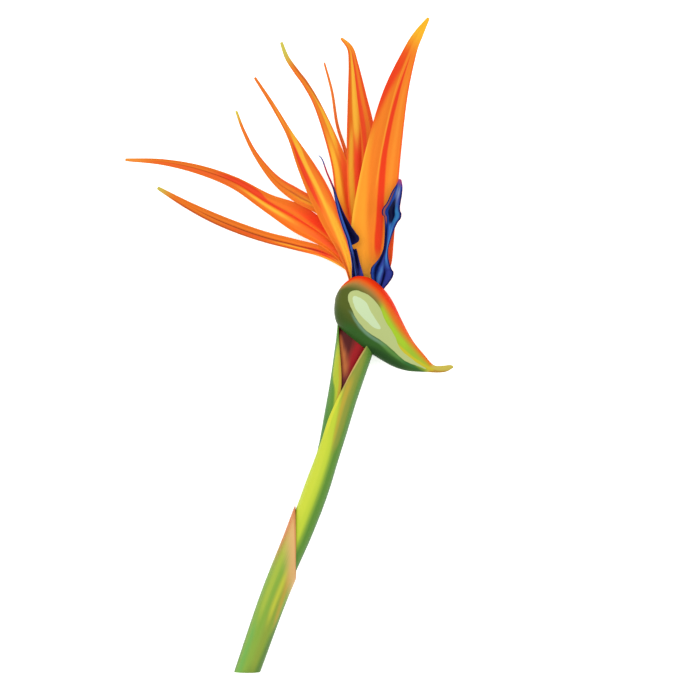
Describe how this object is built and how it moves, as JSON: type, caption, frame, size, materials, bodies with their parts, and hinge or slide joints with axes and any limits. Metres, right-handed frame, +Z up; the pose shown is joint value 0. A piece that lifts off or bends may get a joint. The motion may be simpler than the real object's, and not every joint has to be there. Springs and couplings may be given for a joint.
{
  "type": "bird of paradise flower",
  "caption": "Cut bird of paradise flower lying on its side: a fan of pointed orange sepals and blue arrow-shaped petals rising from a beaked green and red spathe on a sheathed stalk.",
  "frame": {"origin": "on the table, under the middle of the flower's bounding box as it lies on its side", "axes": "+Y along the flower from the stalk's cut end towards the sepals' tips, +X towards the spathe's beak, +Z up from the table"},
  "size_m": [0.1472, 0.2942, 0.0242],
  "materials": {
    "flower_stalk": "satin crimson to green plant stalk",
    "spathe_skin": "waxy olive green with an orange-red margin and an ochre beak",
    "upper_sheath_skin": "satin yellow-green, greener at the right",
    "lower_sheath_skin": "satin green with a brown-orange tip",
    "sepal_skin": "satin orange with red and yellow streaks and yellow-green tips",
    "arrow_petal_skin": "satin deep blue, navy in the folds",
    "style_skin": "satin crimson with a pale blue-white tip"
  },
  "bodies": {
    "root": {"stalk": "flower_stalk", "spathe": "spathe_skin", "upper_sheath": "upper_sheath_skin", "lower_sheath": "lower_sheath_skin", "sepal_1": "sepal_skin", "sepal_2": "sepal_skin", "sepal_3": "sepal_skin", "sepal_4": "sepal_skin", "sepal_5": "sepal_skin", "sepal_6": "sepal_skin", "sepal_7": "sepal_skin", "sepal_8": "sepal_skin", "arrow_petal_left": "arrow_petal_skin", "arrow_petal_right": "arrow_petal_skin", "style": "style_skin"}
  },
  "joints": []
}
